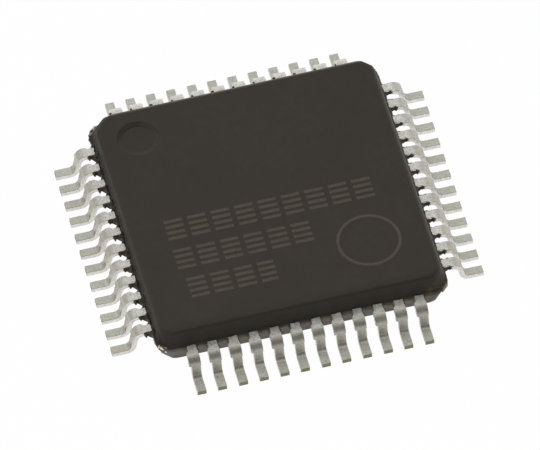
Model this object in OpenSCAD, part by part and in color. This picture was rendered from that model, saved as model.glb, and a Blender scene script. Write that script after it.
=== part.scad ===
// Thin quad flat pack: an integrated circuit in a square moulded body with
// gull-wing leads on all four sides, made to be soldered flat on a board.
//
// The frame's origin is the centre of the footprint on the seating plane.
// +Z points away from the board. Lead 1 is at the +Y end of the -X side, beside
// the round mark, and the leads count anticlockwise seen from above.

/* [Lead pattern] */
// Leads along each side of the body
leads_per_side = 12; // [6:1:13]
// Distance between neighbouring leads
pitch = 0.5; // [0.4:0.05:0.8]
// From the last lead of a row to the body wall that runs beside it
end_margin = 0.75; // [0.7:0.05:1.2]

/* [Moulded body] */
// Thickness of the moulded body
body_h = 1; // [0.9:0.05:1.4]
// Air between the underside of the body and the board
standoff = 0.1; // [0.05:0.01:0.15]
// Draft of the side walls, above and below the parting line
draft_angle = 13; // [5:1:15]
// Radius along the edges of the top and bottom faces
edge_r = 0.09; // [0.04:0.01:0.15]
// Radius of the upright corners
corner_r = 0.38; // [0.3:0.01:0.5]
// Width of the flat across each corner, where the tie bar was cut
corner_flat = 0.28; // [0.2:0.02:0.4]
// Flash left around the parting line, as thick as the leads
flash = 0.035; // [0.01:0.005:0.06]

/* [Marks in the moulding] */
// Diameter of the round mark beside lead 1
mark_d = 1; // [0.6:0.1:1.6]
// Depth of the round mark
mark_depth = 0.08; // [0.04:0.01:0.12]
// Distance of the round mark's centre from the two walls beside it
mark_inset = 1; // [1:0.05:1.4]
// Diameter of the ejector marks in the underside
ejector_d = 0.8; // [0.4:0.1:1.2]
// Depth of the ejector marks
ejector_depth = 0.03; // [0.02:0.01:0.06]

/* [Leads] */
// Width of a lead
lead_w = 0.22; // [0.17:0.01:0.25]
// Thickness of the lead frame
lead_t = 0.127; // [0.1:0.005:0.15]
// From the body wall to the toe
lead_reach = 1; // [0.95:0.05:1.4]
// Flat length of the foot
foot_l = 0.34; // [0.24:0.02:0.4]
// Inside radius of the bend at the knee
knee_r = 0.12; // [0.08:0.01:0.18]
// Inside radius of the bend at the heel
heel_r = 0.12; // [0.08:0.01:0.18]
// Fall of the lead between knee and heel, from the horizontal
fall_angle = 78; // [65:1:84]
// Extra width left by the dam bar, on the left side seen from outside
dam_left = 0.055; // [0.02:0.005:0.06]
// Extra width left by the dam bar, on the right side seen from outside
dam_right = 0.013; // [0.005:0.001:0.03]
// How far the dam bar's remains start before the knee
dam_lead_in = 0.03; // [0.01:0.01:0.05]
// How far the dam bar's remains run down the fall
dam_run = 0.01; // [0.005:0.005:0.05]

/* [Resin beside the leads] */
// Thickness of the resin left on the sides of each lead root
resin_t = 0.025; // [0.01:0.005:0.03]
// How far that resin hangs below the lead
resin_drop = 0.03; // [0:0.01:0.05]

/* [Lead frame inside] */
// Length of the fingers inside the body
finger_l = 0.75; // [0.6:0.05:0.9]
// Width of a finger at its tip
tip_w = 0.2; // [0.14:0.01:0.22]
// Straight length of a finger behind the wall
root_in = 0.24; // [0.2:0.02:0.3]
// Radius of the notches that lock a finger in the resin
lock_r = 0.035; // [0.02:0.005:0.05]
// Gap between the finger tips and the die paddle
paddle_gap = 0.35; // [0.25:0.05:0.5]
// How far the paddle lies below the leads
downset = 0.2; // [0.15:0.01:0.25]
// Width of the tie bars that hold the paddle
tie_w = 0.22; // [0.15:0.01:0.25]
// Gap between a tie bar and the nearest finger tip
tie_gap = 0.15; // [0.1:0.01:0.2]
// How far a cut tie bar stands out of the body
tie_stub = 0.04; // [0.02:0.01:0.08]

/* [Die and wires] */
// Paddle left free around the die
die_margin = 0.5; // [0.3:0.05:0.8]
// Thickness of the die
die_t = 0.25; // [0.18:0.01:0.28]
// Thickness of the die attach
attach_t = 0.025; // [0.015:0.005:0.04]
// How far the die attach spreads past the die
attach_spread = 0.05; // [0.02:0.01:0.1]
// Diameter of a bond wire
wire_d = 0.025; // [0.02:0.005:0.04]
// Height of a wire's loop above the die
loop_h = 0.12; // [0.08:0.01:0.15]
// Distance of the bond pads from the edge of the die
pad_inset = 0.1; // [0.06:0.01:0.2]
// Diameter of the ball at the die end of a wire
ball_d = 0.075; // [0.05:0.005:0.09]
// Height of that ball
ball_h = 0.015; // [0.01:0.005:0.03]
// Length of the flattened stitch at the lead end of a wire
stitch_l = 0.08; // [0.05:0.01:0.1]

/* [Hidden] */
eps = 0.01;
bend_steps = 8;
lead_count = 4 * leads_per_side;
body_w = (leads_per_side - 1) * pitch + 2 * end_margin;
wall_x = body_w / 2;
toe_x = wall_x + lead_reach;
root_x = wall_x - root_in;
// heights of the parting plane, which is the middle of the lead frame, and of both faces
frame_z = standoff + body_h / 2;
top_z = standoff + body_h;
lead_top = frame_z + lead_t / 2;
lead_bottom = frame_z - lead_t / 2;

// gull wing: radii along the middle of the strip, straight fall and flat shoulder
knee_mid = knee_r + lead_t / 2;
heel_mid = heel_r + lead_t / 2;
fall_l = (frame_z - lead_t / 2 - (knee_mid + heel_mid) * (1 - cos(fall_angle))) / sin(fall_angle);
bend_run = (knee_mid + heel_mid) * sin(fall_angle) + fall_l * cos(fall_angle);
shoulder_l = lead_reach - foot_l - bend_run;
knee_x = wall_x + shoulder_l;
heel_x = toe_x - foot_l;
root_out = shoulder_l - dam_lead_in;

// lead frame inside: finger tips in a row between the tie bars
tip_x = wall_x - finger_l;
tip_pitch = 2 * (tip_x - tie_w / sqrt(2) - tie_gap - tip_w / 2) / (leads_per_side - 1);
paddle_w = body_w - 2 * (finger_l + paddle_gap);
paddle_top = lead_top - downset;
// along a diagonal: the body's flat, the tie bar's end, and where the bar slopes
flat_angle = asin(corner_flat / 2 / corner_r);
flat_d = sqrt(2) * (wall_x - corner_r) + corner_r * cos(flat_angle);
tie_end = flat_d + flash + tie_stub;
slope_in = paddle_w / sqrt(2) + downset / 2;
slope_out = slope_in + downset;

die_w = paddle_w - 2 * die_margin;
attach_w = die_w + 2 * attach_spread;
die_z = paddle_top + attach_t;
die_top = die_z + die_t;
pad_x = die_w / 2 - pad_inset;
pad_pitch = 2 * (pad_x - 2 * pad_inset) / (leads_per_side - 1);
stitch_x = tip_x + 1.5 * stitch_l;

function lead_name(n) = str("lead_", n < 10 ? "0" : "", n);

// ---------- Placing on the four sides ----------

// Turns what is drawn for the +X side to the side of lead n: -X, -Y, +X, +Y in turn.
module on_side(n) rotate(180 + 90 * floor((n - 1) / leads_per_side)) children();

// Place of lead n in its row, counted from the middle of the row.
function row_step(n) = (n - 1) % leads_per_side - (leads_per_side - 1) / 2;

// ---------- Moulded body ----------

// One corner: two short arcs with the flat between them.
function corner_points(half, turn) = [
    for (a = [for (k = [0 : 3]) k / 3 * (45 - flat_angle), for (k = [0 : 3]) 45 + flat_angle + k / 3 * (45 - flat_angle)])
        let (x = half - corner_r + corner_r * cos(a), y = half - corner_r + corner_r * sin(a))
            [x * cos(turn) - y * sin(turn), x * sin(turn) + y * cos(turn)]
];

// The outline of the body, drawn in from the parting line by inset.
function ring(z, inset) = [
    for (turn = [0 : 90 : 270]) for (p = corner_points(wall_x - inset, turn)) [p.x, p.y, z]
];

// Heights and insets up one wall, from the parting line to the face.
draft_in = (body_h / 2 - lead_t / 2) * tan(draft_angle);
round_in = edge_r * (1 - sin(draft_angle)) / cos(draft_angle);
function wall_steps() = [
    [lead_t / 2, -flash],
    [lead_t / 2, 0],
    for (a = [draft_angle : (90 - draft_angle) / 4 : 90.01])
        [body_h / 2 - edge_r + edge_r * sin(a), draft_in + round_in - edge_r * cos(a)]
];

module body_block() {
    up = wall_steps();
    steps = concat([for (k = [len(up) - 1 : -1 : 0]) [-up[k][0], up[k][1]]], up);
    rings = [for (s = steps) ring(frame_z + s[0], s[1])];
    n = len(rings[0]);
    last = len(rings) - 1;
    polyhedron(
        points = [for (r = rings) each r],
        faces = concat(
            [[for (k = [0 : n - 1]) k]],
            [[for (k = [n - 1 : -1 : 0]) last * n + k]],
            [for (r = [0 : last - 1], k = [0 : n - 1])
                [r * n + k, (r + 1) * n + k, (r + 1) * n + (k + 1) % n, r * n + (k + 1) % n]]));
}

// Resin left on both sides of a lead root, from the wall out to the dam bar.
module root_resin() {
    for (side = [-1, 1])
        translate([wall_x - edge_r, side * (lead_w + resin_t) / 2 - resin_t / 2, lead_bottom - resin_drop])
            cube([root_out + edge_r, resin_t, lead_t + resin_drop]);
}

module round_mark() {
    translate([mark_inset - wall_x, wall_x - mark_inset, top_z - mark_depth])
        cylinder(d = mark_d, h = mark_depth + eps, $fn = 48);
}

module ejector_marks() {
    for (side = [-1, 1])
        translate([side * (wall_x - mark_inset), side * (wall_x - mark_inset), standoff - eps])
            cylinder(d = ejector_d, h = ejector_depth + eps, $fn = 48);
}

module moulded_body() {
    color([0.2, 0.19, 0.17])
        difference() {
            union() {
                body_block();
                for (n = [1 : lead_count])
                    on_side(n) translate([0, row_step(n) * pitch, 0]) root_resin();
            }
            round_mark();
            ejector_marks();
            for (n = [1 : lead_count]) lead(n);
            die_paddle();
            die_attach();
            silicon_die();
            bond_wires();
        }
}

// ---------- Leads ----------

// Points along an arc about c.
function arc(c, r, a0, a1) =
    [for (k = [0 : bend_steps]) let (a = a0 + (a1 - a0) * k / bend_steps) c + r * [cos(a), sin(a)]];

// Both faces of the knee, and of the heel, outwards along the lead.
function knee(r) = arc([knee_x, frame_z - knee_mid], r, 90, 90 - fall_angle);
function heel(r) = arc([heel_x, heel_r + lead_t], r, 270 - fall_angle, 270);
function reverse(list) = [for (k = [len(list) - 1 : -1 : 0]) list[k]];

// Side view of a formed lead, in X and Z: shoulder, knee, fall, heel and foot.
module gull_wing() {
    polygon(concat(
        [[root_x, lead_top]], knee(knee_r + lead_t), heel(heel_r), [[toe_x, lead_t]],
        [[toe_x, 0]], reverse(heel(heel_r + lead_t)), reverse(knee(knee_r)), [[root_x, lead_bottom]]));
}

// Side view of the stretch that keeps a little of the dam bar on its edges.
module dam_stretch() {
    outer = knee(knee_r + lead_t);
    inner = knee(knee_r);
    down = dam_run * [cos(fall_angle), -sin(fall_angle)];
    polygon(concat(
        [[wall_x + root_out, lead_top]], outer, [outer[bend_steps] + down],
        [inner[bend_steps] + down], reverse(inner), [[wall_x + root_out, lead_bottom]]));
}

// Extrudes a side view across a lead, from y0 to y1.
module strip(y0, y1) translate([0, y1, 0]) rotate([90, 0, 0]) linear_extrude(y1 - y0) children();

// The finger inside the body, from the straight root to the tip beside the paddle.
module finger(shift) {
    translate([0, 0, lead_bottom])
        linear_extrude(lead_t)
            polygon([[wall_x, -lead_w / 2], [wall_x, lead_w / 2], [root_x, lead_w / 2],
                     [tip_x, shift + tip_w / 2], [tip_x, shift - tip_w / 2], [root_x, -lead_w / 2]]);
}

module lead(n) {
    k = row_step(n);
    color([0.69, 0.69, 0.66])
        on_side(n)
            translate([0, k * pitch, 0])
                difference() {
                    union() {
                        strip(-lead_w / 2, lead_w / 2) gull_wing();
                        strip(-lead_w / 2 - dam_left, lead_w / 2 + dam_right) dam_stretch();
                        finger(k * (tip_pitch - pitch));
                    }
                    for (side = [-1, 1])
                        translate([wall_x - root_in / 2, side * lead_w / 2, lead_bottom - eps])
                            cylinder(r = lock_r, h = lead_t + 2 * eps, $fn = 24);
                }
}

// ---------- Lead frame, die and wires inside the body ----------

// Side view of a tie bar along the diagonal: low at the paddle, level with the leads outside.
module tie_profile() {
    low = paddle_top;
    polygon([[0, low - lead_t], [slope_in, low - lead_t], [slope_out, lead_bottom],
             [tie_end, lead_bottom], [tie_end, lead_top], [slope_out, lead_top],
             [slope_in, low], [0, low]]);
}

module die_paddle() {
    color([0.72, 0.45, 0.28]) {
        translate([-paddle_w / 2, -paddle_w / 2, paddle_top - lead_t])
            cube([paddle_w, paddle_w, lead_t]);
        for (turn = [45 : 90 : 315])
            rotate(turn) strip(-tie_w / 2, tie_w / 2) tie_profile();
    }
}

module die_attach() {
    color([0.75, 0.75, 0.73])
        translate([-attach_w / 2, -attach_w / 2, paddle_top])
            cube([attach_w, attach_w, attach_t]);
}

module silicon_die() {
    color([0.35, 0.37, 0.42])
        translate([-die_w / 2, -die_w / 2, die_z])
            cube([die_w, die_w, die_t]);
}

// Middle line of a wire: straight up off the ball, over, and down to the lead at run.
function loop_point(u, run) = let (start = die_top + ball_h / 2, end = lead_top + wire_d / 2)
    [run * u, start + (end - start) * u + loop_h * sin(180 * pow(u, 0.6))];

// A wire as a strip in its own upright plane, as thick as it is wide.
module wire(n) {
    k = row_step(n);
    from = [pad_x, k * pad_pitch];
    to = [stitch_x, k * (tip_pitch + (pitch - tip_pitch) * 1.5 * stitch_l / (finger_l - root_in))];
    run = norm(to - from);
    middle = [for (i = [0 : 8]) loop_point(i / 8, run)];
    side = [for (i = [0 : 8])
        let (d = middle[min(i + 1, 8)] - middle[max(i - 1, 0)]) [-d.y, d.x] / norm(d) * wire_d / 2];
    translate(from)
        rotate(atan2(to.y - from.y, to.x - from.x)) {
            translate([0, 0, die_top]) cylinder(d = ball_d, h = ball_h, $fn = 8);
            strip(-wire_d / 2, wire_d / 2)
                polygon(concat([for (i = [0 : 8]) middle[i] + side[i]],
                               [for (i = [8 : -1 : 0]) middle[i] - side[i]]));
            translate([run - stitch_l / 2, -wire_d, lead_top])
                cube([stitch_l, 2 * wire_d, wire_d / 2]);
        }
}

module bond_wires() {
    color([0.85, 0.68, 0.3])
        for (n = [1 : lead_count]) on_side(n) wire(n);
}

moulded_body();
die_paddle();
die_attach();
silicon_die();
bond_wires();
for (n = [1 : lead_count])
    lead(n);
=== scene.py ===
import math

import bmesh
import bpy
from mathutils import Matrix, Vector
from mathutils.noise import fractal


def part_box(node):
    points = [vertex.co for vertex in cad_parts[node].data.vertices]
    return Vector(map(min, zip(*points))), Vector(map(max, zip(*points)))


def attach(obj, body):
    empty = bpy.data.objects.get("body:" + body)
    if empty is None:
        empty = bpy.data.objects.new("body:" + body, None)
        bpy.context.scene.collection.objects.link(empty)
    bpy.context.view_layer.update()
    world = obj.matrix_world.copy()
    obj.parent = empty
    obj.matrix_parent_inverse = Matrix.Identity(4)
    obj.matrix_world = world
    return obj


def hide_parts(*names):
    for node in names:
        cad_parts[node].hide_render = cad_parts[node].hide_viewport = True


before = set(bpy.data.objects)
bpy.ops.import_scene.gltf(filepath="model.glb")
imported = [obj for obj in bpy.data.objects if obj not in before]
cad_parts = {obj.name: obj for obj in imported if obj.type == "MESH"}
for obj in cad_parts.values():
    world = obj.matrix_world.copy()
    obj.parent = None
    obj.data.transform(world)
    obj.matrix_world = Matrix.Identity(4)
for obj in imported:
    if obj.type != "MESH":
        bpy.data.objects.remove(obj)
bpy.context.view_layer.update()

# ---- Camera ----
# A long lens well back from the chip, so that its rows stay almost parallel.
# It looks down from the front, a little to the left, and is held slightly tilted.
MM = 0.001
view_turn, view_height, view_tilt = math.radians(-12.18), math.radians(51.43), math.radians(-2.79)
view_distance = 330.70 * MM
backward = Vector((math.sin(view_turn) * math.cos(view_height),
                   -math.cos(view_turn) * math.cos(view_height),
                   math.sin(view_height)))
level_right = Vector((0, 0, 1)).cross(backward).normalized()
level_up = backward.cross(level_right)
right = level_right * math.cos(view_tilt) + level_up * math.sin(view_tilt)
up = level_up * math.cos(view_tilt) - level_right * math.sin(view_tilt)
camera_data = bpy.data.cameras.new("long_lens")
camera_data.sensor_width = 36
camera_data.lens = 935
camera_data.clip_start = 0.01
camera_data.clip_end = 10
camera = bpy.data.objects.new("long_lens", camera_data)
camera.location = right * 0.0367 * MM - up * 0.0146 * MM + backward * view_distance
camera.rotation_mode = "QUATERNION"
camera.rotation_quaternion = Matrix((right, up, backward)).transposed().to_quaternion()
bpy.context.scene.collection.objects.link(camera)
bpy.context.scene.camera = camera


# ---- Leads ----
# Forty-eight strips of the copper lead frame, 0.127 mm thick, stamped flat and
# plated with matt tin. After moulding, the dam bar between them is cut out, which
# leaves a step on their edges, and each is formed at the knee and the heel.
def plug(tree, node, inputs):
    """Gives each socket, by name or number, a value or another node's output."""
    for socket, value in inputs.items():
        if isinstance(value, bpy.types.NodeSocket):
            tree.links.new(value, node.inputs[socket])
        else:
            node.inputs[socket].default_value = value
    return node


def add_node(tree, kind, inputs=None, **settings):
    made = tree.nodes.new(kind)
    made.location = (len(tree.nodes) * 190, -(len(tree.nodes) % 5) * 140)
    for name, value in settings.items():
        setattr(made, name, value)
    return plug(tree, made, inputs or {})


def calc(tree, operation, *terms):
    """Arithmetic between sockets and numbers. Terms past the second are taken in turn."""
    if len(terms) > 2 and operation != "MULTIPLY_ADD":
        terms = (calc(tree, operation, *terms[:-1]), terms[-1])
    return add_node(tree, "ShaderNodeMath", dict(enumerate(terms)), operation=operation).outputs[0]


def vector_calc(tree, operation, first, second):
    """Arithmetic between two vectors that gives a number."""
    return add_node(tree, "ShaderNodeVectorMath", {0: first, 1: second},
                    operation=operation).outputs["Value"]


def split_axes(tree, vector):
    return add_node(tree, "ShaderNodeSeparateXYZ", {0: vector}).outputs


def join_axes(tree, **axes):
    return add_node(tree, "ShaderNodeCombineXYZ", axes).outputs[0]


def start_tree(name, **inputs):
    """A node tree that takes a mesh and the named inputs, and gives a mesh."""
    tree = bpy.data.node_groups.new(name, "GeometryNodeTree")
    tree.interface.new_socket("Mesh", in_out="OUTPUT", socket_type="NodeSocketGeometry")
    tree.interface.new_socket("Mesh", in_out="INPUT", socket_type="NodeSocketGeometry")
    for label, kind in inputs.items():
        tree.interface.new_socket(label, in_out="INPUT", socket_type="NodeSocket" + kind)
    return tree, tree.nodes.new("NodeGroupInput").outputs


def end_tree(tree, mesh):
    tree.links.new(mesh, add_node(tree, "NodeGroupOutput").inputs[0])


def run_tree(piece, tree, **values):
    """Sets the tree's inputs by identifier, then leaves its result as a plain mesh."""
    modifier = piece.modifiers.new(tree.name, "NODES")
    modifier.node_group = tree
    for item in tree.interface.items_tree:
        if item.in_out == "INPUT" and item.name in values:
            modifier[item.identifier] = values[item.name]
    graph = bpy.context.evaluated_depsgraph_get()
    plain = bpy.data.meshes.new_from_object(piece.evaluated_get(graph), preserve_all_data_layers=True,
                                            depsgraph=graph)
    piece.modifiers.clear()
    piece.data = plain


def new_piece(name, bm):
    mesh = bpy.data.meshes.new(name)
    bm.to_mesh(mesh)
    bm.free()
    piece = bpy.data.objects.new(name, mesh)
    bpy.context.scene.collection.objects.link(piece)
    return piece


def smooth_but(piece, sharp_angle):
    """Smooth shading, with a crease wherever two faces meet at more than sharp_angle degrees."""
    piece.data.polygons.foreach_set("use_smooth", [True] * len(piece.data.polygons))
    piece.data.set_sharp_from_angle(angle=math.radians(sharp_angle))


def start_material(name):
    """A node material, with the coordinates of the object as it was made."""
    material = bpy.data.materials.new(name)
    material.use_nodes = True
    tree = material.node_tree
    place = add_node(tree, "ShaderNodeTexCoord").outputs["Object"]
    return material, tree, tree.nodes["Principled BSDF"], place


def noise(tree, place, size, detail=2.0, rough=0.5):
    """Noise from 0 to 1 whose marks are about size millimetres across."""
    return add_node(tree, "ShaderNodeTexNoise", {"Vector": place, "Scale": 1 / (size * MM), "Detail": detail,
                                                 "Roughness": rough}).outputs[0]


def spread(tree, value, low, high, to_low, to_high, kind="SMOOTHSTEP"):
    """Maps low..high to to_low..to_high."""
    return add_node(tree, "ShaderNodeMapRange", {0: value, 1: low, 2: high, 3: to_low, 4: to_high},
                    interpolation_type=kind).outputs[0]


def fade(tree, value, low, high, to_low, to_high):
    """Maps low..high millimetres to to_low..to_high."""
    return spread(tree, value, low * MM, high * MM, to_low, to_high)


def paint(r, g, b):
    """A screen colour, 0 to 255, as the linear colour that a shader takes."""
    return [(c / 255 / 12.92) if c <= 10 else ((c / 255 + 0.055) / 1.055) ** 2.4 for c in (r, g, b)]


def mix_colours(tree, share, first, second, way="MIX"):
    """Mixes two colours, each a socket or a screen colour."""
    first, second = ((*paint(*tone), 1) if isinstance(tone, tuple) else tone for tone in (first, second))
    return add_node(tree, "ShaderNodeMix", {0: share, 6: first, 7: second},
                    data_type="RGBA", blend_type=way).outputs[2]


def bump(tree, height, depth, strength, under=None):
    """Surface relief, depth millimetres high."""
    inputs = {"Height": height, "Distance": depth * MM, "Strength": strength}
    if under:
        inputs["Normal"] = under
    return add_node(tree, "ShaderNodeBump", inputs).outputs[0]


def attribute(tree, name):
    """A share, 0 to 1, that the mesh carries."""
    return add_node(tree, "ShaderNodeAttribute", attribute_name=name).outputs["Fac"]


tin, tree, shader, place = start_material("matt_tin")
axes = split_axes(tree, place)
cloud = noise(tree, place, 0.07, 4, 0.7)
grain = noise(tree, place, 0.018, 3, 0.6)
tint = noise(tree, place, 0.16, 2, 0.5)
speckle = noise(tree, place, 0.038, 2, 0.55)
tone = mix_colours(tree, spread(tree, tint, 0.4, 0.6, 0, 1), (244, 239, 236), (240, 242, 234))
tone = mix_colours(tree, spread(tree, cloud, 0.38, 0.6, 0.65, 0), tone, (204, 203, 198))
tone = mix_colours(tree, spread(tree, attribute(tree, "plating"), 0, 1, 0, 0.4), tone, (216, 208, 202))
tone = mix_colours(tree, spread(tree, grain, 0.35, 0.75, 0, 0.35), tone, (188, 186, 175))
tone = mix_colours(tree, spread(tree, speckle, 0.48, 0.66, 0, 0.55), tone, (174, 173, 166))
# painted shade: the bends and the fall are darkened, most on the front row and least on the back row
row_shade = calc(tree, "MULTIPLY", fade(tree, axes["Y"], -3.7, -3.4, 0.9, 0.65),
                 fade(tree, axes["Y"], 3.4, 3.6, 1, 0.1))
bend_shade = calc(tree, "MULTIPLY", attribute(tree, "bend_shade_zone"),
              spread(tree, cloud, 0.25, 0.6, 0.75, 1.0), row_shade)
tone = mix_colours(tree, bend_shade, tone, (194, 192, 183), "MULTIPLY")
# the foot is darker, with a greenish cast everywhere but at the back
on_foot = calc(tree, "MULTIPLY", attribute(tree, "foot"), spread(tree, cloud, 0.35, 0.65, 0.5, 1.0))
tone = mix_colours(tree, on_foot, tone, (224, 226, 220), "MULTIPLY")
greenish = calc(tree, "MULTIPLY", on_foot, fade(tree, axes["Y"], 3.4, 3.6, 1, 0))
tone = mix_colours(tree, greenish, tone, (253, 255, 249), "MULTIPLY")
tree.links.new(tone, shader.inputs["Base Color"])
shader.inputs["Metallic"].default_value = 1
tree.links.new(spread(tree, cloud, 0.3, 0.7, 0.38, 0.48), shader.inputs["Roughness"])
relief = bump(tree, grain, 0.002, 0.5)
relief = bump(tree, speckle, 0.004, 0.5, relief)
tree.links.new(bump(tree, cloud, 0.006, 0.6, relief), shader.inputs["Normal"])

sheared, tree, shader, place = start_material("sheared_copper")
burr = noise(tree, place, 0.02, 3, 0.6)
streaks = add_node(tree, "ShaderNodeMapping", {"Vector": place, "Scale": (1, 1, 0.12)}).outputs[0]
drag = noise(tree, streaks, 0.012, 2, 0.5)
tone = mix_colours(tree, spread(tree, burr, 0.3, 0.7, 0, 1), (116, 117, 92), (146, 141, 113))
tone = mix_colours(tree, spread(tree, drag, 0.4, 0.7, 0, 0.5), tone, (76, 78, 58))
tree.links.new(tone, shader.inputs["Base Color"])
shader.inputs["Metallic"].default_value = 1
shader.inputs["Roughness"].default_value = 0.5
tree.links.new(bump(tree, drag, 0.002, 0.6), shader.inputs["Normal"])

leads_per_side, pitch = 12, 0.5
body_w, lead_reach, foot_l = 7.0, 1.0, 0.34
lead_w, lead_t, edge_break = 0.22, 0.127, 0.007
frame_z = 0.6
bend_r = 0.12
knee_mid = heel_mid = bend_r + lead_t / 2
fall_angle = math.radians(78)
dam_left, dam_right, dam_lead_in, dam_run = 0.055, 0.013, 0.03, 0.01
finger_l, tip_w, root_in, lock_r = 0.75, 0.2, 0.24, 0.035
tie_w, tie_gap = 0.22, 0.15
wall_x = body_w / 2
root_x, tip_x = wall_x - root_in, wall_x - finger_l
tip_pitch = 2 * (tip_x - tie_w / math.sqrt(2) - tie_gap - tip_w / 2) / (leads_per_side - 1)
fall_l = (frame_z - lead_t / 2 - (knee_mid + heel_mid) * (1 - math.cos(fall_angle))) / math.sin(fall_angle)
shoulder_l = (lead_reach - foot_l - (knee_mid + heel_mid) * math.sin(fall_angle)
              - fall_l * math.cos(fall_angle))
knee_at = wall_x + shoulder_l
knee_end = knee_at + knee_mid * fall_angle
heel_at = knee_end + fall_l
heel_end = heel_at + heel_mid * fall_angle
flat_toe = heel_end + foot_l
dam_start, dam_end = knee_at - dam_lead_in, knee_end + dam_run

# the flat blank: distance along the frame, then the width to the left and to the right
half = lead_w / 2
blank_widths = [(tip_x, tip_w / 2, tip_w / 2), (root_x, half, half)]
for step in range(9):
    turn = math.pi * step / 8
    notch = half - lock_r * math.sin(turn)
    blank_widths.append((wall_x - root_in / 2 - lock_r * math.cos(turn), notch, notch))
blank_widths += [(wall_x, half, half), (dam_start - 0.05, half, half),
                 (dam_start - 0.02, half + dam_left * 0.5, half + dam_right * 0.5),
                 (dam_start + 0.01, half + dam_left * 0.95, half + dam_right * 0.95)]
bend_steps = 12
blank_widths += [(knee_at + (knee_end - knee_at) * step / bend_steps, half + dam_left, half + dam_right)
                 for step in range(bend_steps + 1)]
blank_widths += [(dam_end, half + dam_left, half + dam_right), (dam_end + 0.006, half, half)]
blank_widths += [(heel_at + (heel_end - heel_at) * step / bend_steps, half, half)
                 for step in range(bend_steps + 1)]
blank_widths += [(heel_end + foot_l * 0.5, half, half), (flat_toe - edge_break, half, half)]

bm = bmesh.new()
sections = []


def blank_section(along, left, right_side, thick, edge):
    corners = [(-left + edge, -thick), (right_side - edge, -thick), (right_side, -thick + edge),
               (right_side, thick - edge), (right_side - edge, thick), (-left + edge, thick),
               (-left, thick - edge), (-left, -thick + edge)]
    return [bm.verts.new((along * MM, y * MM, z * MM)) for y, z in corners]


for along, left, right_side in blank_widths:
    sections.append(blank_section(along, left, right_side, lead_t / 2, edge_break))
sections.append(blank_section(flat_toe, half - edge_break * 0.6, half - edge_break * 0.6,
                              lead_t / 2 - edge_break * 0.6, edge_break))
for first, second in zip(sections, sections[1:]):
    for k in range(8):
        bm.faces.new((first[k], second[k], second[(k + 1) % 8], first[(k + 1) % 8]))
bm.faces.new(sections[0])
toe_face = bm.faces.new(list(reversed(sections[-1])))
bm.normal_update()
bmesh.ops.recalc_face_normals(bm, faces=bm.faces)
bm.faces.index_update()
cut_faces = [0] * len(bm.faces)
cut_faces[toe_face.index] = 1
leads = new_piece("tinned_leads", bm)
leads.data.attributes.new("cut_face", "BOOLEAN", "FACE").data.foreach_set("value", cut_faces)


def mark_top(name, start, full, end, gone):
    """Marks the top face of the strip, not the sheared edges or the underside.

    The share is 1 between full and end along the blank, and fades to 0 at start and gone.
    """
    top_face = (lead_t / 2 - 0.001) * MM
    shares = [max(0, min(1, (v.co.x / MM - start) / (full - start), (gone - v.co.x / MM) / (gone - end)))
              if v.co.z > top_face else 0 for v in leads.data.vertices]
    leads.data.attributes.new(name, "FLOAT", "POINT").data.foreach_set("value", shares)


# the top faces of the bends and the fall, which take painted shade, and of the foot
mark_top("bend_shade_zone", knee_at - 0.02, knee_at + 0.06, heel_end - 0.05, heel_end + 0.01)
mark_top("foot", heel_end - 0.05, heel_end + 0.01, flat_toe + 1, flat_toe + 2)


def here(tree):
    """Where each point of the mesh is."""
    return split_axes(tree, add_node(tree, "GeometryNodeInputPosition").outputs[0])


def bend(tree, mesh, at, radius, angle, way):
    """Forms the strip across its length. way is 1 to bend it down and -1 to bend it up."""
    axes = here(tree)
    past = calc(tree, "SUBTRACT", axes["X"], at)
    swept = calc(tree, "MINIMUM", calc(tree, "MAXIMUM", calc(tree, "DIVIDE", past, radius), 0.0), angle)
    beyond = calc(tree, "MAXIMUM", calc(tree, "SUBTRACT", past, calc(tree, "MULTIPLY", radius, angle)), 0.0)
    reach = calc(tree, "MULTIPLY_ADD", axes["Z"], way, radius)
    x = calc(tree, "ADD", at, calc(tree, "MINIMUM", past, 0.0))
    x = calc(tree, "MULTIPLY_ADD", reach, calc(tree, "SINE", swept), x)
    x = calc(tree, "MULTIPLY_ADD", beyond, calc(tree, "COSINE", angle), x)
    z = calc(tree, "SUBTRACT", calc(tree, "MULTIPLY", reach, calc(tree, "COSINE", swept)), radius)
    z = calc(tree, "SUBTRACT", z, calc(tree, "MULTIPLY", beyond, calc(tree, "SINE", angle)))
    formed = join_axes(tree, X=x, Y=axes["Y"], Z=calc(tree, "MULTIPLY", z, way))
    return add_node(tree, "GeometryNodeSetPosition", {"Geometry": mesh, "Position": formed}).outputs[0]


def copies(tree, mesh, count, tag):
    """Copies of the mesh, one on another, each with its number on its points."""
    points = add_node(tree, "GeometryNodeMeshLine", {"Count": count, "Offset": (0, 0, 0)}).outputs[0]
    copied = add_node(tree, "GeometryNodeInstanceOnPoints", {"Points": points, "Instance": mesh}).outputs[0]
    number = add_node(tree, "GeometryNodeInputIndex").outputs[0]
    tagged = add_node(tree, "GeometryNodeStoreNamedAttribute",
                      {"Geometry": copied, "Name": tag, "Value": number},
                      data_type="INT", domain="INSTANCE").outputs[0]
    made = add_node(tree, "GeometryNodeRealizeInstances", {"Geometry": tagged}).outputs[0]
    own_number = add_node(tree, "GeometryNodeInputNamedAttribute", {"Name": tag}, data_type="INT").outputs[0]
    return made, own_number


def row_place(tree, number, per_side):
    """A lead's side, 0 to 3 from the left one, and its pitches from the middle of its row."""
    side = calc(tree, "FLOOR", calc(tree, "DIVIDE", calc(tree, "ADD", number, 0.5), per_side))
    middle = calc(tree, "MULTIPLY_ADD", per_side, 0.5, -0.5)
    return side, calc(tree, "SUBTRACT", number, middle, calc(tree, "MULTIPLY", side, per_side))


def chance(tree, low, high, number, seed):
    """A random value that stays the same over everything with one number."""
    return add_node(tree, "FunctionNodeRandomValue", {2: low, 3: high, 7: number, 8: seed},
                    data_type="FLOAT").outputs[1]


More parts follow.
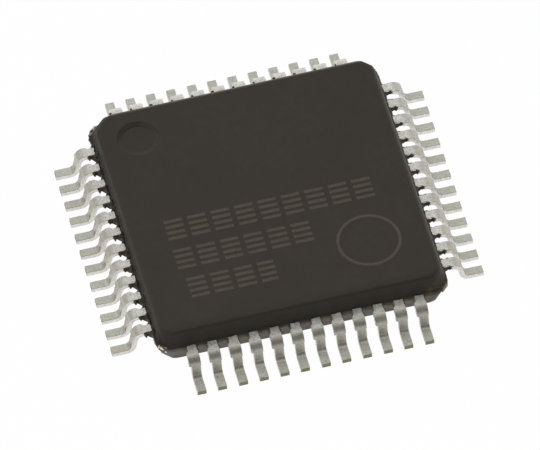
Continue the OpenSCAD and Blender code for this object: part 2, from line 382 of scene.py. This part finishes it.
def round_the_sides(tree, mesh, side, height):
    """Turns what was made for the +X side to the -X, -Y, +X and +Y sides, and lifts it to its height."""
    split = add_node(tree, "GeometryNodeSplitToInstances", {"Geometry": mesh, "Group ID": side},
                     domain="FACE")
    turn = join_axes(tree, Z=calc(tree, "MULTIPLY_ADD", split.outputs["Group ID"], math.pi / 2, math.pi))
    turned = add_node(tree, "GeometryNodeRotateInstances",
                      {"Instances": split.outputs[0], "Rotation": turn, "Local Space": False}).outputs[0]
    return add_node(tree, "GeometryNodeTranslateInstances",
                    {"Instances": turned, "Translation": join_axes(tree, Z=height),
                     "Local Space": False}).outputs[0]


tree, given = start_tree("form_leads", Leads_per_side="Int", Pitch="Float", Height="Float", Root_at="Float",
                         Tip_at="Float", Tip_pitch="Float", Knee_at="Float", Knee_radius="Float",
                         Heel_at="Float", Heel_radius="Float", Fall_angle="Float", Drift="Float",
                         Seed="Int", Plating="Material", Cut_face="Material")
formed = bend(tree, given["Mesh"], given["Heel_at"], given["Heel_radius"], given["Fall_angle"], -1.0)
formed = bend(tree, formed, given["Knee_at"], given["Knee_radius"], given["Fall_angle"], 1.0)
row, number = copies(tree, formed, calc(tree, "MULTIPLY", given["Leads_per_side"], 4.0), "lead_number")
side, step = row_place(tree, number, given["Leads_per_side"])
along = here(tree)["X"]
inward = spread(tree, along, given["Root_at"], given["Tip_at"], 0.0, 1.0, "LINEAR")
fan = calc(tree, "MULTIPLY", inward, calc(tree, "SUBTRACT", given["Tip_pitch"], given["Pitch"]))
across = calc(tree, "MULTIPLY", step, calc(tree, "ADD", fan, given["Pitch"]))
outward = spread(tree, along, given["Knee_at"], given["Heel_at"], 0.0, 1.0)
wander = calc(tree, "MULTIPLY", outward, chance(tree, calc(tree, "MULTIPLY", given["Drift"], -1.0),
                                               given["Drift"], number, given["Seed"]))
shift = join_axes(tree, Y=calc(tree, "ADD", across, wander))
row = add_node(tree, "GeometryNodeSetPosition", {"Geometry": row, "Offset": shift}).outputs[0]
row = add_node(tree, "GeometryNodeStoreNamedAttribute",
               {"Geometry": row, "Name": "plating",
                "Value": chance(tree, 0.0, 1.0, number, calc(tree, "ADD", given["Seed"], 1.0))},
               data_type="FLOAT", domain="POINT").outputs[0]
row = round_the_sides(tree, row, side, given["Height"])
row = add_node(tree, "GeometryNodeRealizeInstances", {"Geometry": row}).outputs[0]
row = add_node(tree, "GeometryNodeSetMaterial", {"Geometry": row, "Material": given["Plating"]}).outputs[0]
cut = add_node(tree, "GeometryNodeInputNamedAttribute", {"Name": "cut_face"}, data_type="BOOLEAN").outputs[0]
row = add_node(tree, "GeometryNodeSetMaterial",
               {"Geometry": row, "Selection": cut, "Material": given["Cut_face"]}).outputs[0]
end_tree(tree, row)
run_tree(leads, tree, Leads_per_side=leads_per_side, Pitch=pitch * MM, Height=frame_z * MM,
         Root_at=root_x * MM, Tip_at=tip_x * MM, Tip_pitch=tip_pitch * MM, Knee_at=knee_at * MM,
         Knee_radius=knee_mid * MM, Heel_at=heel_at * MM, Heel_radius=heel_mid * MM,
         Fall_angle=fall_angle, Drift=0.006 * MM, Seed=7, Plating=tin, Cut_face=sheared)
smooth_but(leads, 30)
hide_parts(*[f"lead_{n:02d}" for n in range(1, 4 * leads_per_side + 1)])
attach(leads, "root")


# ---- Moulded body ----
# A square block of dark moulding compound, transfer moulded round the lead frame in
# two mould halves, so its walls lean in from a parting line that keeps a little flash.
# It has a round mark beside lead 1, ejector marks below, and resin left beside each lead.
def band(value, low, high, soft):
    """1 between low and high, with a soft edge."""
    rise = spread(tree, value, low - soft, low + soft, 0, 1)
    fall = spread(tree, value, high - soft, high + soft, 1, 0)
    return calc(tree, "MULTIPLY", rise, fall)


body_h, standoff, draft, edge_r = 1.0, 0.1, math.radians(13), 0.09
corner_r, corner_flat, flash = 0.38, 0.28, 0.035
mark_d, mark_depth, mark_inset, rim_r, slope = 1.0, 0.05, 1.0, 0.01, 2.0
ejector_d, ejector_depth = 0.8, 0.03
resin_t, resin_drop = 0.025, 0.03
top_z = standoff + body_h
flat_angle = math.asin(corner_flat / 2 / corner_r)
mark_at = wall_x - mark_inset

compound, tree, shader, place = start_material("moulding_compound")
axes = split_axes(tree, place)
blush = noise(tree, place, 1.6, 3, 0.55)
mottle = noise(tree, place, 0.22, 3, 0.55)
filler = add_node(tree, "ShaderNodeTexVoronoi", {"Vector": place, "Scale": 1 / (0.035 * MM)},
                  feature="F1").outputs["Distance"]
skin = noise(tree, place, 0.03, 3, 0.6)
tone = mix_colours(tree, spread(tree, blush, 0.35, 0.65, 0, 1), (44, 38, 28), (47, 40, 30))
tone = mix_colours(tree, spread(tree, mottle, 0.35, 0.7, 0, 0.6), tone, (47, 42, 32))
tone = mix_colours(tree, spread(tree, filler, 0.12, 0.3, 0.22, 0), tone, (74, 68, 60))
# painted shade on the back wall of the round mark, a crescent between two circles
well_shade_z, crescent_shift = top_z - 0.04, 0.07
from_rim = vector_calc(tree, "DISTANCE", place, (-mark_at * MM, mark_at * MM, well_shade_z * MM))
from_crescent_inner = vector_calc(tree, "DISTANCE", place,
                        (-mark_at * MM, (mark_at - crescent_shift) * MM, well_shade_z * MM))
well_shade = calc(tree, "MULTIPLY", fade(tree, from_rim, 0.49, 0.505, 1, 0),
               fade(tree, from_crescent_inner, 0.43, 0.47, 0, 1), fade(tree, axes["Y"], 2.45, 2.7, 0, 0.75))
tone = mix_colours(tree, well_shade, tone, (27, 23, 16))
# painted shade: the walls are darkened just above the leads, most and highest on the left and least on the
# right, and so is the front edge of the top
lump = calc(tree, "SUBTRACT", noise(tree, place, 0.11, 3, 0.6), 0.5)
left = fade(tree, axes["X"], -3.4, -3.3, 1, 0.15)
wall_shade_edge = calc(tree, "MULTIPLY_ADD", calc(tree, "MULTIPLY", lump, left), 0.7 * MM, axes["Z"])
wall_shade_top = spread(tree, left, 0.2, 0.9, 0.92 * MM, 1.02 * MM)
wall_shade_share = spread(tree, left, 0.2, 0.9, 0.75, 1.0)
wall_shade = calc(tree, "MULTIPLY", spread(tree, wall_shade_edge, 0.77 * MM, wall_shade_top, wall_shade_share, 0),
               fade(tree, axes["X"], 3.2, 3.45, 1, 0.2), spread(tree, mottle, 0.3, 0.5, 0.5, 1))
front_edge_shade = fade(tree, axes["Y"], -3.36, -3.1, 0.6, 0)
tone = mix_colours(tree, calc(tree, "MAXIMUM", wall_shade, front_edge_shade), tone, (36, 31, 20))
# painted highlight: the back edge is lightened, and the right side a little
edge_sheen = calc(tree, "MULTIPLY", fade(tree, axes["Y"], 3.3, 3.38, 0, 0.5),
            fade(tree, axes["Z"], 0.85, 1.0, 0, 1))
edge_sheen = calc(tree, "MAXIMUM", edge_sheen, fade(tree, axes["X"], 3.3, 3.42, 0, 0.16))
edge_sheen = calc(tree, "MULTIPLY", edge_sheen, spread(tree, mottle, 0.3, 0.6, 0.6, 1))
tone = mix_colours(tree, edge_sheen, tone, (152, 145, 132))
# painted light: the walls below the parting line are lightened, as if lit by the white floor. The resin bled
# beside the leads is olive brown instead, except at the front
reach = calc(tree, "MAXIMUM", calc(tree, "ABSOLUTE", axes["X"]), calc(tree, "ABSOLUTE", axes["Y"]))
bled = calc(tree, "MULTIPLY", fade(tree, reach, 3.535, 3.56, 0, 1), fade(tree, axes["Y"], -3.5, -3.4, 0, 1))
floor_light = fade(tree, calc(tree, "MULTIPLY_ADD", mottle, 0.04 * MM, axes["Z"]), 0.62, 0.69, 0.9, 0)
floor_light = calc(tree, "MULTIPLY", floor_light, calc(tree, "SUBTRACT", 1.0, bled))
tone = mix_colours(tree, floor_light, tone, (112, 106, 95))
thin_resin = calc(tree, "MULTIPLY", bled, spread(tree, mottle, 0.35, 0.6, 0.35, 0.85))
tone = mix_colours(tree, thin_resin, tone, (70, 62, 44))
# pale flash at the corner beside lead 1
thin_flash = calc(tree, "MULTIPLY", fade(tree, axes["Y"], 3.2, 3.3, 0, 0.8),
                  fade(tree, axes["X"], -3.3, -3.2, 1, 0), fade(tree, axes["Z"], 0.7, 0.8, 1, 0))
tone = mix_colours(tree, thin_flash, tone, (176, 170, 158))
# olive resin round the cut tie bar at the front right corner
to_corner = calc(tree, "SUBTRACT", axes["X"], axes["Y"])
smeared = calc(tree, "MULTIPLY", fade(tree, to_corner, 6.35, 6.6, 0, 0.85),
               fade(tree, calc(tree, "MULTIPLY_ADD", mottle, 0.1 * MM, axes["Z"]), 0.9, 1.04, 1, 0),
               fade(tree, axes["Z"], 0.16, 0.34, 0, 1))
olive = mix_colours(tree, spread(tree, mottle, 0.45, 0.62, 0, 1), (48, 41, 26), (80, 74, 42))
tone = mix_colours(tree, smeared, tone, olive)
# laser marking: a burnt skin a shade lighter than the compound, in plain dashes and one ring.
# A row is where it starts and stops, and its lower edge
mark_rows = [(-2.55, 2.50, -0.70), (-2.55, 0.80, -1.60), (-2.45, -0.35, -2.50)]
row_height, dash_pitch, dash_length, line_width = 0.6, 0.57, 0.44, 0.085
line_pitch = (row_height - line_width) / 3
dash_share, line_share = dash_length / dash_pitch, line_width / line_pitch
ring_x, ring_y, ring_r, ring_line = 1.97, -1.95, 0.73, 0.07
soft = 0.01 * MM
fray = calc(tree, "MULTIPLY_ADD", noise(tree, place, 0.03, 2, 0.5), 0.03 * MM, -0.015 * MM)
burnt_x = calc(tree, "ADD", axes["X"], fray)
burnt_y = calc(tree, "SUBTRACT", axes["Y"], fray)
burnt_areas = []
for start, stop, low in mark_rows:
    dash = calc(tree, "DIVIDE", calc(tree, "SUBTRACT", burnt_x, start * MM), dash_pitch * MM)
    dash = calc(tree, "FRACT", dash)
    line = calc(tree, "DIVIDE", calc(tree, "SUBTRACT", burnt_y, low * MM), line_pitch * MM)
    line = calc(tree, "FRACT", line)
    burnt_areas.append(calc(tree, "MULTIPLY", band(burnt_x, start * MM, stop * MM, soft),
                            band(burnt_y, low * MM, (low + row_height) * MM, soft),
                            spread(tree, dash, dash_share - 0.02, dash_share + 0.02, 1, 0),
                            spread(tree, line, line_share - 0.05, line_share + 0.05, 1, 0)))
off_ring = vector_calc(tree, "DISTANCE", join_axes(tree, X=burnt_x, Y=burnt_y),
                       (ring_x * MM, ring_y * MM, 0))
burnt_areas.append(band(off_ring, (ring_r - ring_line / 2) * MM, (ring_r + ring_line / 2) * MM, soft))
on_top = calc(tree, "GREATER_THAN", axes["Z"], (top_z - 0.005) * MM)
marked = calc(tree, "MULTIPLY", calc(tree, "MAXIMUM", *burnt_areas), on_top)
burn = calc(tree, "MULTIPLY", marked, spread(tree, skin, 0.3, 0.6, 0.35, 0.8))
tone = mix_colours(tree, burn, tone, (85, 78, 67))
tree.links.new(tone, shader.inputs["Base Color"])
tree.links.new(spread(tree, mottle, 0.3, 0.7, 0.56, 0.66), shader.inputs["Roughness"])
shader.inputs["Specular IOR Level"].default_value = 0.36
relief = bump(tree, skin, 0.003, 0.5)
relief = bump(tree, filler, 0.002, 0.3, relief)
# resin torn off with the flash leaves the wall lumpy just above the leads on the left
lumps = calc(tree, "MULTIPLY", lump, left, band(axes["Z"], 0.6 * MM, 0.9 * MM, 0.08 * MM))
relief = bump(tree, lumps, 0.08, 1.0, relief)
tree.links.new(bump(tree, marked, 0.003, 0.4, relief), shader.inputs["Normal"])


def rubbed_off(spot):
    """How far the top edge is rubbed back at the corner beside lead 1."""
    near = max(0, min(1, (spot.y - spot.x - 6.35) / 0.25)) * max(0, min(1, (spot.z - 1.0) / 0.08))
    return near * (0.13 + 0.03 * fractal(spot * 7, 0.6, 2.0, 3))


def torn_out(spot):
    """How raggedly the flash broke off: most beside lead 1, and least at the other corners."""
    torn = fractal(spot * 9, 0.6, 2.0, 4) + 0.6 * fractal(spot * 2.2, 0.6, 2.0, 2)
    return torn * (1.8 if spot.y - spot.x > 6 else 0.5 if min(abs(spot.x), abs(spot.y)) > 2.9 else 1)


def body_ring(bm, z, inset, raggedness=0.0):
    """The body's outline at one height: four sides, and corners of two short arcs with a flat between."""
    side_steps, arc_steps = 140, 6
    swing = [k / arc_steps * (math.pi / 4 - flat_angle) for k in range(arc_steps + 1)]
    swing += [math.pi / 4 + flat_angle + a for a in swing]
    side_x = wall_x - inset
    arc_at = side_x - corner_r
    outline = [(side_x, (2 * k / side_steps - 1) * arc_at, 1, 0) for k in range(1, side_steps)]
    outline += [(arc_at + corner_r * math.cos(a), arc_at + corner_r * math.sin(a),
                 math.cos(a), math.sin(a)) for a in swing]
    points = []
    for c, s in ((1, 0), (0, 1), (-1, 0), (0, -1)):
        for x, y, out_x, out_y in outline:
            spot = Vector((x * c - y * s, x * s + y * c, z))
            outward = Vector((out_x * c - out_y * s, out_x * s + out_y * c, 0))
            spot += outward * (torn_out(spot) * raggedness - rubbed_off(spot))
            points.append(bm.verts.new(spot * MM))
    return points


def circle(bm, x, y, radius, z):
    steps = 72
    turns = [2 * math.pi * k / steps for k in range(steps)]
    return [bm.verts.new(((x + radius * math.cos(turn)) * MM, (y + radius * math.sin(turn)) * MM, z * MM))
            for turn in turns]


def skin_between(bm, rings):
    for first, second in zip(rings, rings[1:]):
        n = len(first)
        for k in range(n):
            bm.faces.new((first[k], first[(k + 1) % n], second[(k + 1) % n], second[k]))


def face_with_wells(bm, outline, wells):
    """Fills a flat face round the tops of the wells sunk in it."""
    loops = [outline] + [w[0] for w in wells]
    edges = [bm.edges.get((a, b)) or bm.edges.new((a, b))
             for loop in loops for a, b in zip(loop, loop[1:] + loop[:1])]
    bmesh.ops.triangle_fill(bm, use_beauty=True, edges=edges)
    for well in wells:
        skin_between(bm, well)
        bm.faces.new(well[-1])


def well_rings(bm, x, y, radius, depth, face_z, down):
    """A shallow round well: a broken rim, a sloping wall, and a small fillet at the floor."""
    turns = (math.pi / 6, math.pi / 3, math.pi / 2)
    floor_r = radius - depth * slope
    steps = [(radius + rim_r + 0.03, 0), (radius + rim_r, 0)]
    steps += [(radius + rim_r * (1 - math.sin(a)), rim_r * (1 - math.cos(a))) for a in turns]
    steps += [(floor_r, depth - rim_r)]
    steps += [(floor_r - rim_r * (1 - math.cos(a)), depth - rim_r * (1 - math.sin(a))) for a in turns]
    steps += [(floor_r - 0.04, depth)]
    return [circle(bm, x, y, r, face_z - down * d) for r, d in steps]


bm = bmesh.new()
draft_in = (body_h / 2 - lead_t / 2) * math.tan(draft)
round_in = edge_r * (1 - math.sin(draft)) / math.cos(draft)
# height from the parting line, inset from the wall, and raggedness
wall_steps = [(lead_t / 2 - 0.03, -flash, 0.03), (lead_t / 2 - 0.006, -flash + 0.006, 0.025),
              (lead_t / 2, -flash + 0.014, 0.015), (lead_t / 2, -0.006, 0.003), (lead_t / 2 + 0.006, 0, 0)]
wall_steps += [(body_h / 2 - edge_r + edge_r * math.sin(a), draft_in + round_in - edge_r * math.cos(a), 0)
               for a in [draft + (math.pi / 2 - draft) * k / 9 for k in range(10)]]
wall_steps.append((body_h / 2, draft_in + round_in + 0.03, 0))
rings = [body_ring(bm, frame_z - z, inset, torn) for z, inset, torn in reversed(wall_steps)]
rings += [body_ring(bm, frame_z + z, inset, torn) for z, inset, torn in wall_steps]
skin_between(bm, rings)
face_with_wells(bm, rings[-1], [well_rings(bm, -mark_at, mark_at, mark_d / 2, mark_depth, top_z, 1)])
face_with_wells(bm, rings[0], [well_rings(bm, at, at, ejector_d / 2, ejector_depth, standoff, -1)
                               for at in (-mark_at, mark_at)])
bmesh.ops.recalc_face_normals(bm, faces=bm.faces)
body = new_piece("moulded_body_shell", bm)


def by_side(tree, side, *values):
    """The value for the left, the front, the right or the back side."""
    switch = add_node(tree, "GeometryNodeIndexSwitch", data_type="FLOAT")
    while len(switch.index_switch_items) < len(values):
        switch.index_switch_items.new()
    return plug(tree, switch, dict(enumerate((side, *values)))).outputs[0]


tree, given = start_tree("add_root_resin", Leads_per_side="Int", Pitch="Float", Film_start="Float",
                         Film_length="Float", Film_thickness="Float", Film_height="Float", Film_foot="Float",
                         Lead_width="Float", Fillet_left="Float", Fillet_elsewhere="Float", Bulb="Float",
                         Climb="Float", Spill="Float", Raggedness="Float", Seed="Int", Compound="Material")
plate_size = join_axes(tree, X=given["Film_length"], Y=given["Film_thickness"], Z=given["Film_height"])
plate = add_node(tree, "GeometryNodeMeshCube", {"Size": plate_size, "Vertices X": 14, "Vertices Y": 4,
                                                "Vertices Z": 9}).outputs[0]
films, number = copies(tree, plate, calc(tree, "MULTIPLY", given["Leads_per_side"], 8.0), "film_number")
axes = here(tree)
# two films to a lead: which lead, and -1 or 1 for which edge of it
lead_of = calc(tree, "FLOOR", calc(tree, "DIVIDE", calc(tree, "ADD", number, 0.5), 2.0))
edge_of = calc(tree, "SUBTRACT", number, calc(tree, "MULTIPLY_ADD", lead_of, 2.0, 0.5))
edge_of = calc(tree, "MULTIPLY", edge_of, 2.0)
side, step = row_place(tree, lead_of, given["Leads_per_side"])
# along the film from the wall, and up it, both 0 to 1
out = calc(tree, "ADD", calc(tree, "DIVIDE", axes["X"], given["Film_length"]), 0.5)
level = calc(tree, "ADD", calc(tree, "DIVIDE", axes["Z"], given["Film_height"]), 0.5)
spot = join_axes(tree, X=axes["X"], Y=calc(tree, "MULTIPLY", number, 0.0021),
                 Z=calc(tree, "MULTIPLY", given["Seed"], 0.013))
ragged = calc(tree, "MULTIPLY", calc(tree, "SUBTRACT", noise(tree, spot, 0.04, 3.0, 0.65), 0.5),
              given["Raggedness"])
# the film narrows towards its far end, where its lower edge rises, and carries one small drip
drip_at = chance(tree, 0.25, 0.75, number, calc(tree, "ADD", given["Seed"], 2.0))
from_drip = calc(tree, "ABSOLUTE", calc(tree, "SUBTRACT", out, drip_at))
drip = calc(tree, "MAXIMUM", calc(tree, "SUBTRACT", 1.0, calc(tree, "MULTIPLY", from_drip, 5.0)), 0.0)
drip = calc(tree, "MULTIPLY", drip, chance(tree, 0.1, 0.6, number, given["Seed"]))
# and a bulb where the dam bar stopped it, larger on the edge that the resin reached first,
# which is the other edge on the right
from_bulb = calc(tree, "ABSOLUTE", calc(tree, "SUBTRACT", out, 0.88))
bulb_size = chance(tree, calc(tree, "MULTIPLY", given["Bulb"], 0.5), given["Bulb"], number,
                   calc(tree, "ADD", given["Seed"], 3.0))
first_edge = calc(tree, "MULTIPLY", edge_of, by_side(tree, side, 1.0, 1.0, -1.0, 1.0))
bulb = calc(tree, "MULTIPLY", spread(tree, from_bulb, 0.0, 0.16, 1.0, 0.0), bulb_size,
            spread(tree, first_edge, -1.0, 1.0, 0.15, 1.0, "LINEAR"),
            by_side(tree, side, 1.0, 0.25, 0.7, 0.7))
foot = calc(tree, "MULTIPLY", spread(tree, out, 0.55, 1.0, 0.0, 0.5), given["Film_height"])
foot = calc(tree, "MULTIPLY_ADD", bulb, -0.4, foot)
foot = calc(tree, "ADD", foot, calc(tree, "SUBTRACT", calc(tree, "MULTIPLY", ragged, 2.5),
                                    calc(tree, "MULTIPLY", drip, given["Raggedness"])))
top = calc(tree, "MULTIPLY", given["Film_height"],
           spread(tree, edge_of, -1.0, 1.0, 0.62, 0.88, "LINEAR"))
# on the left the resin climbs the wall, and at the back the bulb spills past the dam bar and
# over the edge
climb = calc(tree, "MULTIPLY", spread(tree, out, 0.2, 0.6, 1.0, 0.0),
             by_side(tree, side, given["Climb"], 0.0, 0.0, 0.0),
             spread(tree, noise(tree, spot, 0.03, 2.0, 0.5), 0.3, 0.6, 0.2, 1.0))
spilt = by_side(tree, side, 0.0, 0.0, 0.0, 1.0)
top = calc(tree, "ADD", top, calc(tree, "MULTIPLY", ragged, 0.8), climb)
top = calc(tree, "MULTIPLY_ADD", calc(tree, "MULTIPLY", bulb, spilt), 0.8, top)
rise = calc(tree, "SUBTRACT", calc(tree, "MULTIPLY_ADD", level, calc(tree, "SUBTRACT", top, foot), foot),
            axes["Z"])
# its inner face stays on the lead, and its outer face swells into a fillet at the wall
off_lead = calc(tree, "MULTIPLY", calc(tree, "DIVIDE", axes["Y"], given["Film_thickness"]), edge_of)
elsewhere = given["Fillet_elsewhere"]
fillet = by_side(tree, side, given["Fillet_left"], elsewhere, elsewhere, elsewhere)
swell = spread(tree, out, 0.2, 0.75, fillet, calc(tree, "MULTIPLY", given["Film_thickness"], -0.4))
swell = calc(tree, "ADD", swell, given["Film_thickness"],
             calc(tree, "MULTIPLY", ragged, by_side(tree, side, 1.4, 1.0, 1.0, 1.0), 1.5), bulb)
swell = calc(tree, "MULTIPLY", calc(tree, "ADD", off_lead, 0.5), calc(tree, "MAXIMUM", swell, 0.003 * MM))
from_middle = calc(tree, "MULTIPLY_ADD", given["Lead_width"], 0.5, swell)
move_y = calc(tree, "MULTIPLY_ADD", step, given["Pitch"], calc(tree, "MULTIPLY", from_middle, edge_of))
film_middle = calc(tree, "MULTIPLY_ADD", given["Film_length"], 0.5, given["Film_start"])
shift = join_axes(tree, X=calc(tree, "MULTIPLY_ADD", spilt, given["Spill"], film_middle),
                  Y=calc(tree, "SUBTRACT", move_y, axes["Y"]), Z=rise)
films = add_node(tree, "GeometryNodeSetPosition", {"Geometry": films, "Offset": shift}).outputs[0]
films = round_the_sides(tree, films, side, given["Film_foot"])
whole = add_node(tree, "GeometryNodeJoinGeometry")
tree.links.new(films, whole.inputs[0])
tree.links.new(given["Mesh"], whole.inputs[0])
whole = add_node(tree, "GeometryNodeRealizeInstances", {"Geometry": whole.outputs[0]}).outputs[0]
whole = add_node(tree, "GeometryNodeSetMaterial",
                 {"Geometry": whole, "Material": given["Compound"]}).outputs[0]
end_tree(tree, whole)
run_tree(body, tree, Leads_per_side=leads_per_side, Pitch=pitch * MM, Film_start=(wall_x - edge_r) * MM,
         Film_length=(dam_start - wall_x + edge_r) * MM, Film_thickness=resin_t * MM,
         Film_height=(lead_t + resin_drop) * MM, Film_foot=(frame_z - lead_t / 2 - resin_drop) * MM,
         Lead_width=lead_w * MM, Fillet_left=0.11 * MM, Fillet_elsewhere=0.02 * MM, Bulb=0.09 * MM,
         Climb=0.16 * MM, Spill=0.06 * MM, Raggedness=0.05 * MM, Seed=5, Compound=compound)
smooth_but(body, 40)
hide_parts("moulded_body")
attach(body, "root")

# ---- Die paddle and tie bars ----
# The middle of the same copper lead frame, set down below the leads and silver plated
# under the die. Its four tie bars reach the corners of the body, where they were
# tinned with the leads and then cut off, so that their ends show bare bright metal.
frame_copper, tree, shader, place = start_material("leadframe_copper")
axes = split_axes(tree, place)
diagonal = calc(tree, "MULTIPLY", calc(tree, "ADD", calc(tree, "ABSOLUTE", axes["X"]),
                                       calc(tree, "ABSOLUTE", axes["Y"])), 1 / math.sqrt(2))
flat_d = math.sqrt(2) * (wall_x - corner_r) + corner_r * math.cos(flat_angle)
outside = fade(tree, diagonal, flat_d - 0.16, flat_d - 0.15, 0, 1)
rolled = add_node(tree, "ShaderNodeMapping", {"Vector": place, "Scale": (0.08, 1, 1)}).outputs[0]
rolling = noise(tree, rolled, 0.03, 3, 0.6)
grain = noise(tree, place, 0.03, 3, 0.6)
smear = noise(tree, place, 0.11, 2, 0.5)
# resin smeared over the cut ends, most of all at the front right corner
to_corner = calc(tree, "MAXIMUM", calc(tree, "SUBTRACT", axes["X"], axes["Y"]), 0.0)
clean = spread(tree, calc(tree, "MULTIPLY_ADD", to_corner, -0.022 / MM, smear), 0.47, 0.54, 0, 1)
smear_tone = mix_colours(tree, spread(tree, grain, 0.42, 0.62, 0, 1), (46, 39, 25), (92, 86, 46))
copper_tone = mix_colours(tree, rolling, (184, 115, 80), (205, 140, 102))
bright_tone = mix_colours(tree, spread(tree, grain, 0.35, 0.65, 0, 1), (214, 196, 178), (240, 230, 218))
end_tone = mix_colours(tree, clean, smear_tone, bright_tone)
tree.links.new(mix_colours(tree, outside, copper_tone, end_tone), shader.inputs["Base Color"])
covered = calc(tree, "MULTIPLY", outside, calc(tree, "SUBTRACT", 1.0, clean))
tree.links.new(calc(tree, "SUBTRACT", 1.0, covered), shader.inputs["Metallic"])
tree.links.new(spread(tree, rolling, 0.3, 0.7, 0.3, 0.42), shader.inputs["Roughness"])
tree.links.new(bump(tree, grain, 0.003, 0.6), shader.inputs["Normal"])


def finish_node(name, material):
    """Gives a CAD node its finish."""
    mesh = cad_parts[name].data
    mesh.materials.clear()
    mesh.materials.append(material)


finish_node("die_paddle", frame_copper)

# ---- Die attach ----
# Silver-filled epoxy, printed on the paddle and squeezed out a little round the die,
# then cured. It is matt grey with fine flakes.
silver_epoxy, tree, shader, place = start_material("silver_epoxy")
flakes = add_node(tree, "ShaderNodeTexVoronoi", {"Vector": place, "Scale": 1 / (0.02 * MM)}).outputs["Color"]
flake = add_node(tree, "ShaderNodeSeparateColor", {0: flakes}).outputs[0]
tree.links.new(mix_colours(tree, flake, (150, 150, 147), (196, 196, 192)), shader.inputs["Base Color"])
shader.inputs["Metallic"].default_value = 0.3
tree.links.new(spread(tree, flake, 0, 1, 0.45, 0.65), shader.inputs["Roughness"])
tree.links.new(bump(tree, flake, 0.002, 0.4), shader.inputs["Normal"])
finish_node("die_attach", silver_epoxy)

# ---- Silicon die ----
# A square of silicon sawn from its wafer. Its top carries fine blocks of circuit under
# glass, with bond pads round the edge, and its sides keep the grey of the saw.
silicon, tree, shader, place = start_material("silicon")
axes = split_axes(tree, place)
blocks = add_node(tree, "ShaderNodeTexBrick", {"Vector": place, "Scale": 1 / (0.3 * MM), "Mortar Size": 0.03,
                                               "Color1": (*paint(86, 92, 120), 1),
                                               "Color2": (*paint(110, 96, 128), 1),
                                               "Mortar": (*paint(150, 150, 150), 1)}).outputs["Color"]
die_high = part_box("silicon_die")[1]
on_top = calc(tree, "GREATER_THAN", axes["Z"], die_high.z - 0.002 * MM)
saw = noise(tree, place, 0.02, 2, 0.6)
side_tone = mix_colours(tree, saw, (88, 90, 96), (112, 114, 120))
tree.links.new(mix_colours(tree, on_top, side_tone, blocks), shader.inputs["Base Color"])
tree.links.new(spread(tree, on_top, 0, 1, 0.5, 0.18, "LINEAR"), shader.inputs["Roughness"])
shader.inputs["Metallic"].default_value = 0.4
finish_node("silicon_die", silicon)

# ---- Bond wires ----
# Gold wires 25 microns thick, each welded by a ball to a pad of the die and by a
# flattened stitch to the tip of its lead.
gold, tree, shader, place = start_material("gold_wire")
drawn = noise(tree, place, 0.01, 2, 0.5)
tree.links.new(mix_colours(tree, drawn, (214, 168, 74), (236, 196, 104)), shader.inputs["Base Color"])
shader.inputs["Metallic"].default_value = 1
tree.links.new(spread(tree, drawn, 0.3, 0.7, 0.2, 0.32), shader.inputs["Roughness"])
finish_node("bond_wires", gold)

# ---- Floor and light ----
# A white table in a white room, with a bright window behind and to the right, a darker
# patch in front, where the camera and its stand are, and one soft lamp overhead.
floor_bm = bmesh.new()
bmesh.ops.create_circle(floor_bm, cap_ends=True, segments=96, radius=0.6)
floor = new_piece("floor", floor_bm)
floor.location.z = -0.00002
white_floor, tree, shader, place = start_material("white_floor")
weave = noise(tree, place, 0.4, 2, 0.5)
tree.links.new(mix_colours(tree, weave, (244, 244, 244), (248, 248, 248)), shader.inputs["Base Color"])
shader.inputs["Roughness"].default_value = 1
shader.inputs["Specular IOR Level"].default_value = 0
rays = add_node(tree, "ShaderNodeLightPath").outputs
seen = calc(tree, "MAXIMUM", rays["Is Camera Ray"], rays["Is Glossy Ray"], rays["Is Transmission Ray"])
glow = add_node(tree, "ShaderNodeEmission", {"Color": (1, 1, 1, 1), "Strength": 1.0}).outputs[0]
both = add_node(tree, "ShaderNodeMixShader", {0: calc(tree, "MULTIPLY", seen, 0.98), 1: shader.outputs[0],
                                              2: glow}).outputs[0]
tree.links.new(both, tree.nodes["Material Output"].inputs["Surface"])
floor.data.materials.append(white_floor)

world = bpy.data.worlds.new("white_room")
bpy.context.scene.world = world
world.use_nodes = True
tree = world.node_tree
direction = add_node(tree, "ShaderNodeTexCoord").outputs["Generated"]
rise = split_axes(tree, direction)["Z"]
sky = add_node(tree, "ShaderNodeValToRGB", {0: rise})
for position, level in ((0.0, 1.0), (0.04, 0.9), (0.14, 0.62), (0.4, 0.62), (0.75, 0.74), (1.0, 0.6)):
    stop = sky.color_ramp.elements[0] if position == 0 else sky.color_ramp.elements[-1] if position == 1 \
        else sky.color_ramp.elements.new(position)
    stop.position, stop.color = position, (level, level, level, 1)
toward_window = vector_calc(tree, "DOT_PRODUCT", direction, (0.5, 0.86, 0.0))
window = calc(tree, "MULTIPLY", spread(tree, toward_window, 0.3, 0.75, 0, 1),
              spread(tree, rise, 0.4, 0.68, 1, 0))
toward_stand = vector_calc(tree, "DOT_PRODUCT", direction, (-0.15, -0.8, 0.58))
shade = calc(tree, "MULTIPLY", spread(tree, toward_stand, 0.45, 0.85, 0, 0.68),
             spread(tree, rise, 0.04, 0.2, 0, 1))
light = calc(tree, "SUBTRACT", 1.0, shade)
grey = add_node(tree, "ShaderNodeCombineColor", {0: light, 1: light, 2: light}).outputs[0]
walls = mix_colours(tree, window, sky.outputs[0], (255, 255, 255))
tree.links.new(mix_colours(tree, 1.0, walls, grey, "MULTIPLY"), tree.nodes["Background"].inputs["Color"])
tree.nodes["Background"].inputs["Strength"].default_value = 1.0

lamp_data = bpy.data.lights.new("soft_lamp", "AREA")
lamp_data.shape = "DISK"
lamp_data.size = 0.07
lamp_data.energy = 0.04
lamp = bpy.data.objects.new("soft_lamp", lamp_data)
lamp.location = (-0.045, 0.0, 0.108)
lamp.rotation_mode = "QUATERNION"
lamp.rotation_quaternion = (-lamp.location).to_track_quat("-Z", "Y")
bpy.context.scene.collection.objects.link(lamp)

bpy.context.scene.view_settings.view_transform = "Standard"
